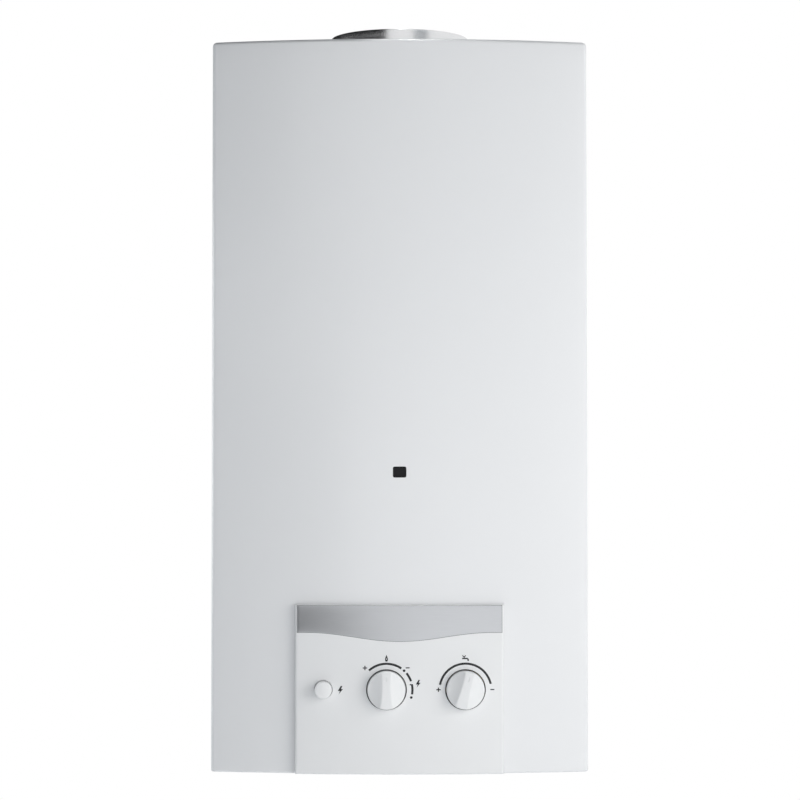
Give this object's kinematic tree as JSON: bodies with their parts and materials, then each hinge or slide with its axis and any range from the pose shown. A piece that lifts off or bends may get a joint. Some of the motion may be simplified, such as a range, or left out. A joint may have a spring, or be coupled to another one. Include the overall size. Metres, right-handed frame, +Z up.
{
  "type": "tankless gas water heater",
  "caption": "Wall-hung instantaneous gas water heater: bowed white sheet casing with a control fascia, round flue collar on top and threaded pipe connections below.",
  "frame": {"origin": "centre of the four wall screws, on the wall plane at the casing's mid-height", "axes": "+Z up, +Y into the wall so the front looks towards -Y, +X to the right seen from the front"},
  "size_m": [0.35, 0.2589, 0.713],
  "materials": {
    "casing_enamel": "smooth white enamel",
    "fascia_plastic": "satin white moulding",
    "trim_silver": "silver lacquer",
    "knob_plastic": "satin light grey moulding",
    "button_plastic": "satin light grey moulding",
    "sight_glass": "dark heat-proof glass",
    "mica": "thin mica sheet",
    "galvanised_sheet": "galvanised sheet",
    "flue_steel": "bright rolled sheet",
    "burner_steel": "stainless sheet",
    "zinc_steel": "zinc plated",
    "spring_steel": "drawn wire",
    "brass": "turned and forged brass",
    "cast_aluminium": "die casting",
    "copper": "drawn copper",
    "rubber": "moulded nitrile",
    "piezo_plastic": "black moulding",
    "ceramic": "glazed alumina",
    "lead_silicone": "silicone sleeve"
  },
  "bodies": {
    "chassis": {"burner_bars": "burner_steel", "burner_frame": "galvanised_sheet", "casing_screws": "zinc_steel", "chamber_brackets": "galvanised_sheet", "cold_inlet_pipe": "copper", "combustion_jacket": "copper", "connector_bracket": "galvanised_sheet", "diaphragm": "rubber", "exchanger_tube": "copper", "fin_stack": "copper", "flue_collar": "flue_steel", "flue_hood": "galvanised_sheet", "frame_screws": "zinc_steel", "gas_inlet_pipe": "copper", "gas_manifold": "cast_aluminium", "gas_valve_body": "cast_aluminium", "gas_valve_cap": "cast_aluminium", "hood_screws": "zinc_steel", "hot_outlet_pipe": "copper", "ignition_electrode": "ceramic", "ignition_lead": "lead_silicone", "injectors": "brass", "interlock_sleeve": "brass", "magnet_unit": "brass", "manifold_riser": "copper", "mica_window": "mica", "overheat_limiter": "zinc_steel", "piezo_body": "piezo_plastic", "piezo_bracket": "galvanised_sheet", "piezo_nut": "zinc_steel", "piezo_spring": "spring_steel", "pilot_burner": "brass", "pilot_tube": "copper", "pipe_connectors": "brass", "pipe_nuts": "brass", "push_spring": "spring_steel", "rear_panel": "galvanised_sheet", "spill_sensor": "zinc_steel", "spindle_glands": "brass", "supply_coil": "copper", "thermocouple": "copper", "valve_bracket": "galvanised_sheet", "valve_screws": "zinc_steel", "valve_spring": "spring_steel", "water_valve_body": "brass", "water_valve_cover": "brass"},
    "casing": {"front_casing": "casing_enamel", "control_fascia": "fascia_plastic", "trim_strip": "trim_silver", "fascia_screws": "zinc_steel", "sight_glass": "sight_glass"},
    "gas_plunger": {"gas_push_rod": "brass"},
    "gas_control": {"gas_knob": "knob_plastic", "gas_spindle": "brass"},
    "water_control": {"water_knob": "knob_plastic", "water_spindle": "brass"},
    "igniter_button": {"piezo_button": "button_plastic"},
    "interlock": {"interlock_rod": "brass", "gas_disc": "rubber"}
  },
  "joints": [
    {"name": "casing_pull", "type": "slide", "parent": "chassis", "child": "casing", "axis": [0, -1, 0], "range_m": [0, 0.27]},
    {"name": "gas_push", "type": "slide", "parent": "chassis", "child": "gas_plunger", "axis": [0, 1, 0], "range_m": [0, 0.0045], "stiffness_N_per_m": 1500, "springref_m": -0.003, "deforming": ["push_spring"]},
    {"name": "gas_turn", "type": "hinge", "parent": "gas_plunger", "child": "gas_control", "pos_m": [-0.012, -0.243, -0.2625], "axis": [0, -1, 0], "range_deg": [-107, 43]},
    {"name": "water_turn", "type": "hinge", "parent": "chassis", "child": "water_control", "pos_m": [0.0605, -0.24, -0.2625], "axis": [0, -1, 0], "range_deg": [-62, 94]},
    {"name": "igniter_press", "type": "slide", "parent": "chassis", "child": "igniter_button", "axis": [0, 1, 0], "range_m": [0, 0.007], "stiffness_N_per_m": 1200, "springref_m": -0.003, "deforming": ["piezo_spring"]},
    {"name": "interlock_slide", "type": "slide", "parent": "chassis", "child": "interlock", "axis": [-1, 0, 0], "range_m": [0, 0.004], "stiffness_N_per_m": 800, "springref_m": -0.004, "deforming": ["valve_spring"]}
  ]
}
